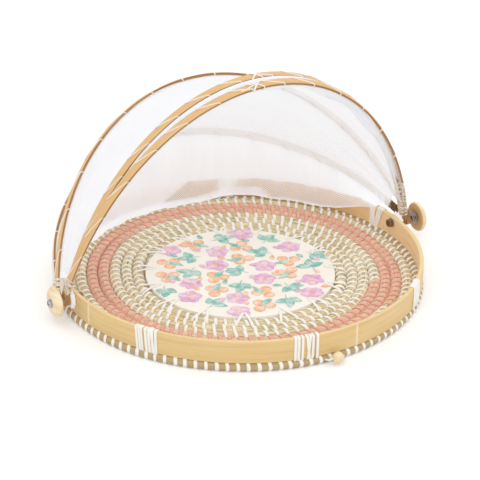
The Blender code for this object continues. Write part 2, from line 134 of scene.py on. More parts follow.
class Shader:
    """A material with short calls for its nodes."""

    def __init__(self, name, roughness, specular=0.3, metallic=0.0):
        self.material = bpy.data.materials.new(name)
        self.material.use_nodes = True
        self.tree = self.material.node_tree
        self.surface = self.tree.nodes["Principled BSDF"]
        self.surface.inputs["Roughness"].default_value = roughness
        self.surface.inputs["Specular IOR Level"].default_value = specular
        self.surface.inputs["Metallic"].default_value = metallic

    def put(self, socket, value):
        if isinstance(value, bpy.types.NodeSocket):
            self.tree.links.new(value, socket)
        else:
            socket.default_value = value

    def node(self, kind, inputs=None, **settings):
        made = self.tree.nodes.new("ShaderNode" + kind)
        for key, value in settings.items():
            setattr(made, key, value)
        for key, value in (inputs or {}).items():
            self.put(made.inputs[key], value)
        return made

    def uv(self):
        return self.node("UVMap").outputs[0]

    def place(self):
        return self.node("TexCoord").outputs["Object"]

    def mark(self):
        return self.node("Attribute", attribute_name="mark").outputs["Fac"]

    def tint(self):
        return self.node("Attribute", attribute_name="tint").outputs["Color"]

    def maths(self, operation, first, second=0.0, third=0.0):
        made = self.node("Math", operation=operation)
        for socket, value in zip(made.inputs, (first, second, third)):
            self.put(socket, value)
        return made.outputs[0]

    def stretched(self, vector, scale):
        return self.node("Mapping", {"Vector": vector, "Scale": scale}).outputs[0]

    def noise(self, vector, scale, detail=3.0, rough=0.5):
        """Noise of a vector stretched by three scales per metre."""
        inputs = {"Vector": self.stretched(vector, scale), "Scale": 1.0, "Detail": detail, "Roughness": rough}
        return self.node("TexNoise", inputs).outputs[0]

    def mix(self, share, first, second, mode="MIX"):
        made = self.node("Mix", data_type="RGBA", blend_type=mode)
        for index, value in ((0, share), (6, first), (7, second)):
            self.put(made.inputs[index], value)
        return made.outputs[2]

    def ramp(self, value, low, high):
        """0 below low, 1 above high and even between."""
        made = self.node("MapRange", {"Value": value, "From Min": low, "From Max": high})
        return made.outputs[0]

    def over(self, colour, other, value, low, high, share=1.0):
        """A colour with a share of another laid over it, where a value goes from low to high."""
        cover = self.ramp(value, low, high)
        if share < 1:
            cover = self.maths("MULTIPLY", cover, share)
        return self.mix(cover, colour, other)

    def finish(self, colour, height=None, distance=0.0, strength=0.0):
        """Set the colour and a relief this far up, in metres."""
        self.put(self.surface.inputs["Base Color"], colour)
        if height is not None:
            bump = self.node("Bump", {"Height": height, "Distance": distance, "Strength": strength})
            self.put(self.surface.inputs["Normal"], bump.outputs[0])
        return self.material


class Batch:
    """Collects skinned grids of points and makes them one mesh, with UVs in metres."""

    def __init__(self):
        self.points, self.faces, self.uvs, self.marks, self.tints = [], [], [], [], []
        self.count = 0

    def add(self, grid, along=False, around=True, capped=False, uv=None, mark=0.0, tint=(1, 1, 1, 1)):
        """along and around say whether the rings and the points of a ring close on themselves."""
        grid = np.asarray(grid, float)
        rows, columns = grid.shape[:2]
        wide_rows, wide_columns = rows + along, columns + around
        if uv is None:
            uv = measured(grid, along, around)
        i, j = np.meshgrid(np.arange(wide_rows - 1), np.arange(wide_columns - 1), indexing="ij")
        i, j = i.ravel(), j.ravel()
        corners = ((i, j), (i, j + 1), (i + 1, j + 1), (i + 1, j))
        ids = [(a % rows) * columns + b % columns + self.count for a, b in corners]
        self.faces += np.stack(ids, axis=1).tolist()
        self.uvs.append(np.stack([uv[a, b] for a, b in corners], axis=1).reshape(-1, 2))
        if capped:
            first = list(range(self.count, self.count + columns))
            last = [n + (rows - 1) * columns for n in first]
            self.faces += [first[::-1], last]
            self.uvs.append(np.zeros((columns * 2, 2)))
        self.points.append(grid.reshape(-1, 3))
        self.marks.append(np.broadcast_to(np.asarray(mark, float), (rows, columns)).ravel())
        self.tints.append(np.broadcast_to(np.asarray(tint, float), (rows, columns, 4)).reshape(-1, 4))
        self.count += rows * columns

    def build(self, name, finish, solid=True):
        data = bpy.data.meshes.new(name)
        data.from_pydata(np.concatenate(self.points).tolist(), [], self.faces)
        layer = data.uv_layers.new(name="UVMap")
        layer.data.foreach_set("uv", np.concatenate(self.uvs).ravel())
        mark = data.attributes.new("mark", "FLOAT", "POINT")
        mark.data.foreach_set("value", np.concatenate(self.marks))
        tint = data.attributes.new("tint", "FLOAT_COLOR", "POINT")
        tint.data.foreach_set("color", np.concatenate(self.tints).ravel())
        if solid:
            bm = bmesh.new()
            bm.from_mesh(data)
            bmesh.ops.recalc_face_normals(bm, faces=bm.faces)
            bm.to_mesh(data)
            bm.free()
        data.polygons.foreach_set("use_smooth", [True] * len(data.polygons))
        data.materials.append(materials[finish])
        return linked(name, data)


def single(name, finish, grid, solid=True, **form):
    """A mesh of one grid."""
    batch = Batch()
    batch.add(grid, **form)
    return batch.build(name, finish, solid)


def measured(grid, along, around):
    """UVs in metres: the way along the rings' middles and the way round the middle ring."""
    middles = grid.mean(axis=1)
    if along:
        middles = np.concatenate((middles, middles[:1]))
    ring = grid[len(grid) // 2]
    if around:
        ring = np.concatenate((ring, ring[:1]))
    return joined(*np.meshgrid(way_along(middles), way_along(ring), indexing="ij"))


def swept(path, section, ups, closed=False):
    """Rings of a (side, up) section carried along a path."""
    path = np.asarray(path, float)
    ups = np.broadcast_to(np.asarray(ups, float), path.shape)
    if closed:
        ahead = np.roll(path, -1, axis=0) - np.roll(path, 1, axis=0)
    else:
        ahead = np.gradient(path, axis=0)
    ahead = unit(ahead)
    side = unit(np.cross(ahead, ups))
    up = np.cross(side, ahead)
    section = np.asarray(section, float)
    return path[:, None] + side[:, None] * section[None, :, :1] + up[:, None] * section[None, :, 1:]


def oval(width, thickness, count=8, square=1.0):
    """An oval section; square below 1 fills its corners."""
    points = []
    for i in range(count):
        c, s = math.cos(tau * i / count), math.sin(tau * i / count)
        x = math.copysign(abs(c) ** square, c) * width / 2
        y = math.copysign(abs(s) ** square, s) * thickness / 2
        points.append((x, y))
    return points


def kept(obj, body, slot, *nodes):
    """Attach a piece to what it rides on and hide the nodes that it stands for. Its slot is not used."""
    if body:
        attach(obj, body)
    if nodes:
        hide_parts(*nodes)
    return obj


# Camera at the photograph's viewing angle
view_azimuth = math.radians(-28.748)
view_elevation = math.radians(26.192)
view_distance = 1.9727
view_target = Vector((0, 0, 0.060))
view_roll = math.radians(0.688)
focal_pixels = 2075.3
image_pixels = 480
target_pixel = (240.93, 224.33)
sensor_mm = 36


def make_camera():
    sin_a, cos_a = math.sin(view_azimuth), math.cos(view_azimuth)
    sin_e, cos_e = math.sin(view_elevation), math.cos(view_elevation)
    back = Vector((sin_a * cos_e, -cos_a * cos_e, sin_e))
    level = Vector((cos_a, sin_a, 0))
    upright = level.cross(-back)
    right = level * math.cos(view_roll) + upright * math.sin(view_roll)
    up = upright * math.cos(view_roll) - level * math.sin(view_roll)
    half = image_pixels / 2
    shift_right, shift_down = ((half - pixel) / focal_pixels for pixel in target_pixel)
    aim = -back + right * shift_right - up * shift_down
    aim.normalize()
    side = aim.cross(up).normalized()
    top = side.cross(aim)
    data = bpy.data.cameras.new("camera")
    data.sensor_width = sensor_mm
    data.lens = focal_pixels * sensor_mm / image_pixels
    data.clip_end = 50
    camera = linked("camera", data)
    turn = Matrix((side, top, -aim)).transposed().to_4x4()
    camera.matrix_world = Matrix.Translation(view_target + back * view_distance) @ turn
    scene.camera = camera


def make_light(name, place, size, power):
    """Square soft light aimed at the middle of the tray."""
    data = bpy.data.lights.new(name, "AREA")
    data.shape = "SQUARE"
    data.size = size
    data.energy = power
    light = linked(name, data)
    light.location = place
    aim = Vector((0, 0, 0.05)) - Vector(place)
    light.rotation_euler = aim.to_track_quat("-Z", "Y").to_euler()


def seen(tree):
    """1 where the camera, a reflection or a clear surface looks straight at it."""
    path = tree.nodes.new("ShaderNodeLightPath")
    last = path.outputs["Is Camera Ray"]
    for name in ("Is Glossy Ray", "Is Transmission Ray"):
        most = tree.nodes.new("ShaderNodeMath")
        most.operation = "MAXIMUM"
        tree.links.new(last, most.inputs[0])
        tree.links.new(path.outputs[name], most.inputs[1])
        last = most.outputs[0]
    return last


def make_world():
    world = bpy.data.worlds.new("world")
    world.use_nodes = True
    scene.world = world
    tree = world.node_tree
    background = tree.nodes["Background"]
    background.inputs[0].default_value = (1, 1, 1, 1)
    level = tree.nodes.new("ShaderNodeMapRange")
    level.inputs["To Min"].default_value = 0.9
    level.inputs["To Max"].default_value = 1.0
    tree.links.new(seen(tree), level.inputs["Value"])
    tree.links.new(level.outputs[0], background.inputs[1])


def make_floor():
    """Plain white floor that keeps the object's shadow."""
    half = 3.0
    corners = [(-half, -half, 0), (half, -half, 0), (half, half, 0), (-half, half, 0)]
    data = bpy.data.meshes.new("floor")
    data.from_pydata(corners, [], [(0, 1, 2, 3)])
    shader = Shader("floor", 0.9, 0.0)
    glow = shader.maths("MULTIPLY", seen(shader.tree), 0.2)
    shader.put(shader.surface.inputs["Emission Strength"], glow)
    shader.surface.inputs["Emission Color"].default_value = (1, 1, 1, 1)
    data.materials.append(shader.finish((0.86, 0.86, 0.86, 1)))
    floor = linked("floor", data)


# Materials
# The hoop's split inside: painted lighter, as if lit, and painted darker along its rear half as shade.
rim_lit_inside = paint(250, 219, 172)
board_white = paint(253, 248, 238)
net_cell = 0.0021


def seagrass():
    """Grass blades: mark is 1 on the pink rows and -1 on the outermost, which is painted darker: painted
    shade under the hoop and partly browner grass.
    """
    shader = Shader("seagrass", 0.75, 0.2)
    uv = shader.uv()
    fibre = shader.noise(uv, (45, 1100, 1), 4, 0.6)
    blade = shader.noise(uv, (16, 420, 1), 2)
    patch = shader.noise(uv, (30, 90, 1), 2)
    row = shader.mark()
    colour = shader.over(paint(242, 230, 194), paint(210, 194, 150), blade, 0.38, 0.6)
    colour = shader.over(colour, paint(238, 208, 164), patch, 0.45, 0.75)
    colour = shader.over(colour, paint(128, 96, 58), fibre, 0.52, 0.68)
    pink = shader.over(paint(242, 206, 176), paint(206, 160, 126), fibre, 0.4, 0.68)
    # Painted shade: the outermost row is darker, as under the hoop, and its grass a little browner.
    colour = shader.over(colour, paint(180, 152, 110), row, 0.0, -1.0, 0.75)
    colour = shader.over(colour, pink, row, 0.0, 1.0, 0.65)
    return shader.finish(colour, fibre, 0.0004, 0.8)


def yarn(name, light, dark):
    """Flat plaited cord: fine strands along it and a slight weave."""
    shader = Shader(name, 0.7, 0.2)
    shader.surface.inputs["Sheen Weight"].default_value = 0.2
    uv = shader.uv()
    strands = shader.noise(uv, (300, 2600, 1), 3, 0.6)
    inputs = {"Vector": shader.stretched(uv, (220, 220, 1)), "Scale": 1.0, "Distortion": 1.5}
    weave = shader.node("TexWave", inputs).outputs["Fac"]
    height = shader.maths("ADD", strands, shader.maths("MULTIPLY", weave, 0.5))
    return shader.finish(shader.over(dark, light, strands, 0.3, 0.7), height, 0.0002, 0.5)


def bamboo(name, skin, inside, edge, streak):
    """Split bamboo: mark is 1 on the skin, 0 on the split face, a half on the edges, more on ridges."""
    shader = Shader(name, 0.42, 0.35)
    uv = shader.uv()
    fibre = shader.noise(uv, (14, 1500, 1), 4, 0.65)
    band = shader.noise(uv, (6, 160, 1))
    patch = shader.noise(uv, (9, 30, 1))
    speck = shader.noise(uv, (120, 900, 1), 2)
    side = shader.mark()
    # The tint paints shade on the rear half of the hoop's inner face; the bows keep white.
    colour = shader.mix(1.0, inside, shader.tint(), "MULTIPLY")
    colour = shader.over(colour, edge, side, 0.1, 0.45)
    colour = shader.over(colour, skin, side, 0.55, 0.9)
    colour = shader.over(colour, paint(250, 236, 204), side, 1.1, 1.7)
    colour = shader.over(colour, streak, fibre, 0.5, 0.75, 0.35)
    colour = shader.over(colour, streak, band, 0.48, 0.7, 0.3)
    colour = shader.over(colour, (1, 0.86, 0.6, 1), patch, 0.5, 0.8, 0.25)
    colour = shader.over(colour, paint(120, 78, 40), speck, 0.7, 0.78, 0.5)
    return shader.finish(colour, fibre, 0.00025, 0.4)


def pale_wood():
    """Sanded wood, with painted shade where mark is 1."""
    shader = Shader("pale_wood", 0.5, 0.3)
    place = shader.place()
    grain = shader.noise(place, (60, 60, 420), 4, 0.6)
    rings = shader.noise(place, (25, 25, 160), 2)
    colour = shader.over(paint(250, 233, 198), paint(236, 209, 162), grain, 0.4, 0.7)
    colour = shader.over(colour, paint(222, 190, 140), rings, 0.45, 0.7, 0.3)
    # Painted shade: the knobs' inner faces, in the shade of the bows and the spring, are darker.
    colour = shader.over(colour, paint(208, 160, 100), shader.mark(), 0.0, 1.0, 0.7)
    return shader.finish(colour, grain, 0.0002, 0.3)


def board():
    shader = Shader("printed_board", 0.45, 0.35)
    place = shader.place()
    fine = shader.noise(place, (700, 700, 700), 3, 0.6)
    wide = shader.noise(place, (14, 14, 14), 2)
    colour = shader.over(board_white, paint(249, 241, 228), wide, 0.3, 0.7)
    colour = shader.over(colour, paint(226, 214, 196), fine, 0.55, 0.8, 0.15)
    return shader.finish(colour, fine, 0.00008, 0.2)


def watercolour():
    """Pooled pigment: mottled inside and a little darker at the edge of a shape."""
    shader = Shader("watercolour", 0.5, 0.25)
    place = shader.place()
    pool = shader.noise(place, (170, 170, 170), 3, 0.55)
    grain = shader.noise(place, (900, 900, 900), 2)
    tint = shader.tint()
    pale = shader.mix(0.62, tint, board_white)
    dark = shader.mix(1.0, tint, tint, "MULTIPLY")
    colour = shader.over(tint, pale, pool, 0.35, 0.65)
    colour = shader.over(colour, dark, shader.mark(), 0.7, 1.0, 0.45)
    return shader.finish(shader.mix(shader.maths("MULTIPLY", grain, 0.12), colour, board_white))


def net(name, cell, cover):
    """Fine net: threads two ways with a haze between them, both denser where mark is 1, and a weak glow of
    painted light.
    """
    glow, haze, waver_share, soft_edge, thinner_unseen = 0.23, 0.12, 1.2, 0.12, 0.6
    shader = Shader(name, 0.8, 0.1)
    shader.surface.inputs["Sheen Weight"].default_value = 0.15
    # Painted light: a weak emission stands in for light let through the threads.
    shader.surface.inputs["Emission Color"].default_value = (1, 1, 1, 1)
    shader.surface.inputs["Emission Strength"].default_value = glow
    uv = shader.uv()
    waver = shader.maths("MULTIPLY", shader.noise(uv, (60, 60, 1), 2), waver_share)
    parts = shader.node("SeparateXYZ", {0: uv})
    low = shader.maths("MULTIPLY_ADD", shader.mark(), -0.16, 0.44 - cover / 2)
    high = shader.maths("ADD", low, soft_edge)
    lines = []
    for lean in (-1.0, 1.0):
        way = shader.maths("MULTIPLY_ADD", parts.outputs[0], lean, parts.outputs[1])
        way = shader.maths("MULTIPLY_ADD", way, 1 / cell, waver)
        way = shader.maths("ABSOLUTE", shader.maths("SUBTRACT", shader.maths("FRACT", way), 0.5))
        lines.append(shader.ramp(way, low, high))
    thread = shader.maths("MAXIMUM", *lines)
    path = shader.node("LightPath")
    unseen = shader.maths("MAXIMUM", path.outputs["Is Shadow Ray"], path.outputs["Is Diffuse Ray"])
    let_by = shader.maths("MULTIPLY_ADD", unseen, -thinner_unseen, 1.0)
    shown = shader.maths("MULTIPLY", shader.maths("MAXIMUM", thread, haze), let_by)
    shade = shader.noise(uv, (25, 25, 1), 2)
    colour = shader.over(paint(240, 244, 250), paint(236, 240, 247), shade, 0.3, 0.7)
    shader.finish(colour, thread, 0.0001, 0.4)
    through = shader.node("BsdfTranslucent", {"Color": colour})
    cloth = shader.node("MixShader", {0: shader.maths("MULTIPLY_ADD", shader.mark(), -0.22, 0.34)})
    clear = shader.node("BsdfTransparent")
    whole = shader.node("MixShader", {0: shown})
    for mixed, first, second in ((cloth, shader.surface, through), (whole, clear, cloth)):
        shader.tree.links.new(first.outputs[0], mixed.inputs[1])
        shader.tree.links.new(second.outputs[0], mixed.inputs[2])
    shader.tree.links.new(whole.outputs[0], shader.tree.nodes["Material Output"].inputs[0])
    return shader.material


def metal(name, light, dark, roughness):
    shader = Shader(name, roughness, 0.5, 1.0)
    place = shader.place()
    worn = shader.noise(place, (500, 500, 500), 3, 0.6)
    turned = shader.noise(place, (2600, 300, 300), 2)
    return shader.finish(shader.over(light, dark, worn, 0.4, 0.7), turned, 0.00005, 0.3)


materials = {
    "seagrass": seagrass(),
    "white_yarn": yarn("white_yarn", paint(255, 253, 247), paint(247, 241, 228)),
    "pink_yarn": yarn("pink_yarn", paint(250, 186, 174), paint(240, 160, 148)),
    "thread": yarn("thread", paint(253, 248, 240), paint(236, 226, 208)),
    "rim": bamboo("rim_bamboo", paint(232, 200, 140), rim_lit_inside, paint(240, 214, 160), paint(196, 150, 88)),
    # The bows' dark brown edges are partly the split bamboo's edge and partly painted shade.
    "bow": bamboo("bow_bamboo", paint(230, 187, 128), paint(186, 144, 94), paint(160, 114, 70),
                  paint(174, 126, 74)),
    "wood": pale_wood(),
    "board": board(),
    "print": watercolour(),
    "net": net("white_net", net_cell, 0.66),
    "thin_net": net("thin_net", net_cell, 0.56),
    "hem": net("net_hem", net_cell, 0.9),
    "veil": net("net_veil", 0.0018, 0.36),
    "wrap": net("net_wrap", net_cell, 0.5),
    "twine": yarn("brown_twine", paint(122, 84, 50), paint(84, 54, 30)),
    "steel": metal("steel", paint(196, 196, 198), paint(140, 138, 136), 0.32),
    # Painted shade: a darker copy of the steel, for the right bolt inside its spring.
    "shaded_steel": metal("shaded_steel", paint(120, 112, 106), paint(70, 62, 56), 0.35),
    "brass": metal("brass", paint(160, 134, 88), paint(104, 80, 46), 0.4),
}


# Seagrass bundle and its stitches
coil_from = -jog_turn / tau
coil_middle = 0.00405
coil_half_width = 0.0054
coil_half_height = 0.0043
coil_floor = 0.00045
stitch_spacing = 0.0093
stations_per_stitch = 7
stitch_lean = 0.0016
stitch_width = 0.0038
stitch_lift = 0.00055
stitch_shake = 0.0004
pinch_depth = 0.075
pinch_reach = 0.0019
drawn_front = 0.0028
drawn_right = 0.0013
pink_from = 3.39
pink_to = 5.44


def coil_line(turns):
    """Radius, angle and share of the full thickness of the bundle after so many turns."""
    turns = np.asarray(turns, float)
    row = np.floor(turns)
    jog = smooth((turns - row - 1 + jog_turn / tau) / (jog_turn / tau))
    radius = inner_row + (row + jog) * row_pitch
    share = np.ones_like(turns)
    grown = (row_pitch * jog - bundle_gap) / bundle_width
    left = (row_pitch * (1 - jog) - bundle_gap) / bundle_width
    first = turns < 0
    last = (row == bundle_rows - 1) & (jog > 0)
    radius = np.where(first, inner_row - bundle_width / 2 * (1 - grown), radius)
    radius = np.where(last, outer_row + bundle_width / 2 * (1 - left), radius)
    share = np.where(first, grown, np.where(last, left, share))
    angle = jog_start - jog_turn - turns * tau
    return radius - drawn_in(radius, angle), angle, np.clip(share, 0.1, 1)


def drawn_in(radius, angle):
    """The outer rows sit closer together along the front and closest at the right."""
    front = smooth((0.45 - np.sin(angle)) / 0.6)
    right = smooth((np.cos(angle + math.radians(37)) - 0.5) / 0.4)
    outward = np.clip((radius - inner_row) / (outer_row - inner_row), 0, 1) ** 1.5
    return outward * (drawn_front * front + drawn_right * right)


def coil_measure():
    """Turns against the length of bundle up to them."""
    turns = np.linspace(coil_from + 0.012, bundle_rows - 0.012, 24001)
    radius, angle, _ = coil_line(turns)
    return turns, way_along(polar(radius, angle, 0))


def pinched(near):
    """How much a stitch this near draws the bundle in."""
    return 1 - pinch_depth * np.exp(-(near / pinch_reach) ** 2)


def make_coil():
    """The bundle, a little lumpy and drawn in at each stitch."""
    turns, way = coil_measure()
    at = np.arange(0, way[-1], stitch_spacing / stations_per_stitch)
    turned = np.interp(at, way, turns)
    radius, angle, share = coil_line(turned)
    around = circle(16)
    phase = (at[:, None] + stitch_lean * np.cos(around)) / stitch_spacing
    draw = pinched((phase - np.round(phase)) * stitch_spacing)
    lumps = 1 + 0.02 * np.sin(at / 0.0137) * np.sin(at / 0.0411 + 1)
    strands = 1 + 0.018 * np.sin(5 * around + at[:, None] / 0.02)
    size = (share * lumps)[:, None] * draw * strands
    out = coil_half_width * size * np.cos(around)
    rise = coil_half_height * size * np.sin(around)
    middle = coil_floor + (coil_middle - coil_floor) * share[:, None]
    grid = polar(radius[:, None] + out, angle[:, None], np.maximum(middle + rise, coil_floor))
    pink = smooth((turned - pink_from) / 0.03) * smooth((pink_to - turned) / 0.03)
    # The outermost row is marked -1 for its painted shade under the hoop.
    outermost = smooth((turned - bundle_rows + 1.4) / 0.5)
    piece = single("seagrass_bundle", "seagrass", grid, capped=True, mark=(pink - outermost)[:, None])
    kept(piece, "tray", "seagrass", "seagrass_coil")
    make_stitches(turns, way)


def make_stitches(turns, way):
    """Flat cord round the bundle at each stitch, leaning back along it on the outside."""
    white, pink = Batch(), Batch()
    around = circle(18)
    profile = ((-1, 0), (-0.55, 0.85), (0.55, 0.85), (1, 0), (0, -0.5))
    for n in range(1, int(way[-1] / stitch_spacing)):
        middle = n * stitch_spacing + random.uniform(-stitch_shake, stitch_shake)
        lean = stitch_lean * random.uniform(0.8, 1.2)
        width = stitch_width * random.uniform(0.88, 1.1)
        turned = np.interp(middle - lean * np.cos(around), way, turns)
        radius, angle, share = coil_line(turned)
        if share.min() < 0.4:
            continue
        size = share * pinched(0.0)
        lift = stitch_lift * (0.35 + 0.65 * np.sin(around) ** 2)
        out = (coil_half_width * size + lift) * np.cos(around)
        rise = (coil_half_height * size + lift) * np.sin(around)
        height = coil_floor + (coil_middle - coil_floor) * share + rise
        line = polar(radius + out, angle, np.maximum(height, 0.0002))
        outward = unit(polar(np.cos(around) / coil_half_width, angle, np.sin(around) / coil_half_height))
        ahead = polar(1.0, angle - math.pi / 2, 0)
        rows = [line + ahead * (x * width / 2) + outward * (y * stitch_lift) for x, y in profile]
        grid = np.stack(rows, axis=1)
        grid[:, :, 2] = np.maximum(grid[:, :, 2], 0.00005)
        is_pink = pink_from < turned.mean() < pink_to
        (pink if is_pink else white).add(grid, along=True)
    kept(white.build("white_stitches", "white_yarn"), "tray", "white_cord")
    kept(pink.build("pink_stitches", "pink_yarn"), "tray", "white_cord")


# Centre board, its print and its lacing
board_ease = 0.0007
hole_reach = 0.0014
print_edge = disc_reach - 0.0012
print_lift = 0.00004
layer_lift = 0.00002
motif_spacing = 0.0268
motif_reach = 0.0835
motif_shake = 0.0012


def make_board():
    """Disc with eased edges and a ring of holes cut through it."""
    bit = board_ease * 0.3
    profile = ((disc_reach - board_ease, 0), (disc_reach, board_ease), (disc_reach, disc_top - board_ease),
               (disc_reach - bit, disc_top - bit), (disc_reach - board_ease, disc_top))
    disc = single("centre_board", "board", [polar(r, circle(192), z) for r, z in profile], capped=True)
    disc.data.polygons.foreach_set("use_smooth", [False] * len(disc.data.polygons))
    holes = Batch()
    for i in range(lace_holes):
        ring = polar(hole_reach, circle(20), 0) + polar(lace_reach, first_lace + tau * i / lace_holes, 0)
        holes.add([ring + (0, 0, z) for z in (-0.002, disc_top + 0.002)], capped=True)
    cutter = holes.build("cutter", "board")
    cut = disc.modifiers.new("holes", "BOOLEAN")
    cut.operation = "DIFFERENCE"
    cut.solver = "EXACT"
    cut.object = cutter
    graph = bpy.context.evaluated_depsgraph_get()
    made = bpy.data.meshes.new_from_object(disc.evaluated_get(graph))
    disc.modifiers.clear()
    disc.data = made
    bpy.data.objects.remove(cutter)
    kept(disc, "tray", "printed_board", "centre_disc")


def printed(local, heading, x, y, layer):
    """Turn and place flat points of the print, kept on the board."""
    c, s = math.cos(heading), math.sin(heading)
    px = x + local[..., 0] * c - local[..., 1] * s
    py = y + local[..., 0] * s + local[..., 1] * c
    fit = np.minimum(1, print_edge / np.maximum(np.hypot(px, py), 1e-6))
    return joined(px * fit, py * fit, disc_top + print_lift + layer * layer_lift)


def leaf_into(batch, x, y, heading, length, width, tint, layer, blunt=0.75):
    along = np.linspace(0, 1, 17)[:, None]
    across = np.linspace(-1, 1, 7)
    half = width / 2 * np.sin(np.pi * along ** blunt) ** 0.8
    bend = 0.08 * length * np.sin(np.pi * along)
    local = joined(along * length, bend + half * across)
    batch.add(printed(local, heading, x, y, layer), around=False, mark=np.abs(across), tint=tint)


def spot_into(batch, x, y, radius, tint, layer):
    shares = np.array((0.02, 0.5, 0.8, 1.0))[:, None]
    local = polar(shares, circle(20), 0) * radius
    batch.add(printed(local, 0, x, y, layer), mark=shares, tint=tint)


def make_print():
    """Scattered blossoms, leaf sprigs and berries."""
    teal, mauve, orange = paint(96, 186, 172), paint(226, 160, 206), paint(244, 172, 108)
    batch = Batch()
    spots = []
    for row in range(-4, 5):
        for column in range(-4, 5):
            x = (column + 0.5 * (row % 2)) * motif_spacing + random.uniform(-motif_shake, motif_shake)
            y = row * motif_spacing * 0.87 + random.uniform(-motif_shake, motif_shake)
            if math.hypot(x, y) < motif_reach:
                spots.append((x, y, (row * 2 + column) % 3, row % 2 * 2 + column % 2))
    for x, y, kind, step in spots:
        heading = random.uniform(0, tau)
        base = step * 4
        if kind == 0:
            for turn, reach in ((0, 0.017), (1.1, 0.014), (-1.1, 0.014)):
                size = reach * random.uniform(0.9, 1.1)
                leaf_into(batch, x, y, heading + turn, size, 0.0092, teal, base + turn + 1)
            leaf_into(batch, x, y, heading + math.pi, 0.009, 0.0012, teal, base + 3)
        elif kind == 1:
            for i in range(5):
                leaf_into(batch, x, y, heading + tau * i / 5, 0.0122, 0.0102, mauve, base + i * 0.6, 1.25)
            spot_into(batch, x, y, 0.0024, orange, base + 3.4)
        else:
            for i in range(3):
                turn = heading + tau * i / 3
                bx, by = x + 0.0068 * math.cos(turn), y + 0.0068 * math.sin(turn)
                spot_into(batch, bx, by, 0.0056, orange, base + i)
            leaf_into(batch, x, y, heading + 1.0, 0.0160, 0.0064, teal, base + 3.4)
    for x, y, kind, step in spots:
        gap_x, gap_y = x + motif_spacing * 0.5, y + motif_spacing * 0.29
        if math.hypot(gap_x, gap_y) < 0.086:
            tint = (mauve, orange, teal)[kind]
            leaf_into(batch, gap_x, gap_y, random.uniform(0, tau), 0.0098, 0.0048, tint, 15 + step * 0.5)
    kept(batch.build("board_print", "print", solid=False), "tray", "printed_board")


def make_lacing():
    """A V of two flat cords from each hole over the board's edge and the first row."""
    batch = Batch()
    section = oval(0.0027, 0.0009, 8, 0.7)
    reach = np.array((0.0822, 0.0827, 0.0848, 0.088, 0.0912, 0.0938, 0.0968, 0.0998, 0.1020, 0.1028))
    rise = np.array((0.0064, 0.0097, 0.0100, 0.0100, 0.0099, 0.0094, 0.0090, 0.0084, 0.0066, 0.0048))
    share = (reach - reach[0]) / (reach[-1] - reach[0])
    for i in range(lace_holes):
        for side in (-1, 1):
            spread = side * random.uniform(0.062, 0.08)
            angle = first_lace + tau * i / lace_holes + spread * share + side * 0.008
            path = polar(reach, angle, rise)
            ups = np.cross(polar(1.0, angle + math.pi / 2, 0), -np.gradient(path, axis=0))
            batch.add(swept(path, section, ups), capped=True)
    kept(batch.build("board_lacing", "white_yarn"), "tray", "white_cord")


# Bamboo hoop
# Painted shade: the rear half of the hoop's inner face is darker and more orange, under the net.
rim_rear_shade = paint(228, 182, 116)
scarf_low = math.radians(113)
scarf_high = math.radians(127)
scarf_tip = 0.0006
scarf_gap = 0.00012
ridges = (math.radians(98), math.radians(189.2), math.radians(278.3))


def strip_ring(inner, outer, low, high, ease, bulge=0.0):
    """Rows of (radius, z, mark) round a strip's section, with rounded edges."""
    points = []
    for radius, z, first in ((outer, low, -90), (outer, high, 0), (inner, high, 90), (inner, low, 180)):
        cx = radius - ease if radius == outer else radius + ease
        cz = z + ease if z == low else z - ease
        for i in range(4):
            a = math.radians(first + 90 * i / 3)
            points.append((cx + ease * math.cos(a), cz + ease * math.sin(a), 0.5 + 0.5 * math.cos(a)))
    middle = (low + high) / 2
    points.insert(12, (inner, middle, 0.0))
    points.insert(4, (outer + bulge, middle, 1.0))
    return np.array(points)


def make_hoop():
    """Sweep of the strip from its inner skived end to its outer one."""
    scarf = scarf_high - scarf_low
    wall = rim_outer - rim_inner - 2 * scarf_tip
    steps = np.linspace(0, 1, 17)
    stations = []
    for share in steps:
        outer = rim_inner + scarf_tip + wall * share - scarf_gap
        stations.append((scarf_high - scarf * share, rim_inner, outer))
    for share in np.linspace(0.003, 0.997, 900):
        stations.append((scarf_low - (tau - scarf) * share, rim_inner, rim_outer))
    for share in steps:
        inner = rim_outer - scarf_tip - wall * (1 - share) + scarf_gap
        stations.append((scarf_high - scarf * share, inner, rim_outer))
    rings, marks = [], []
    for angle, inner, outer in stations:
        swell, pale = 0.0, 0.0
        for ridge in ridges:
            off = ((angle - ridge + math.pi) % tau - math.pi) * rim_outer
            pale += 0.8 * math.exp(-(off / 0.0011) ** 2)
            swell += 0.0004 * math.exp(-(off / 0.0014) ** 2)
            swell -= 0.00015 * math.exp(-((off - 0.003) / 0.0016) ** 2)
        waver = 0.00012 * math.sin(7 * angle) + 0.0001 * math.sin(17 * angle + 1)
        ease = min(0.0008, (outer - inner) * 0.35)
        r, z, mark = strip_ring(inner, outer + swell, rim_low, rim_top + waver, ease, 0.00018).T
        rings.append(polar(r, angle, z))
        marks.append(mark + pale * (mark > 0.9))
    turned = np.array([math.degrees(angle) % 360 for angle, _, _ in stations])
    # Painted shade along the rear half of the inner face, fading in at both ends.
    shade_at_rear = (smooth((turned - 7) / 24) * smooth((170 - turned) / 20))[:, None]
    tints = 1 + shade_at_rear * (np.array(rim_rear_shade) / np.array(rim_lit_inside) - 1)
    piece = single("bamboo_hoop", "rim", rings, capped=True, mark=marks, tint=tints[:, None])
    kept(piece, "tray", "bamboo", "bamboo_rim")


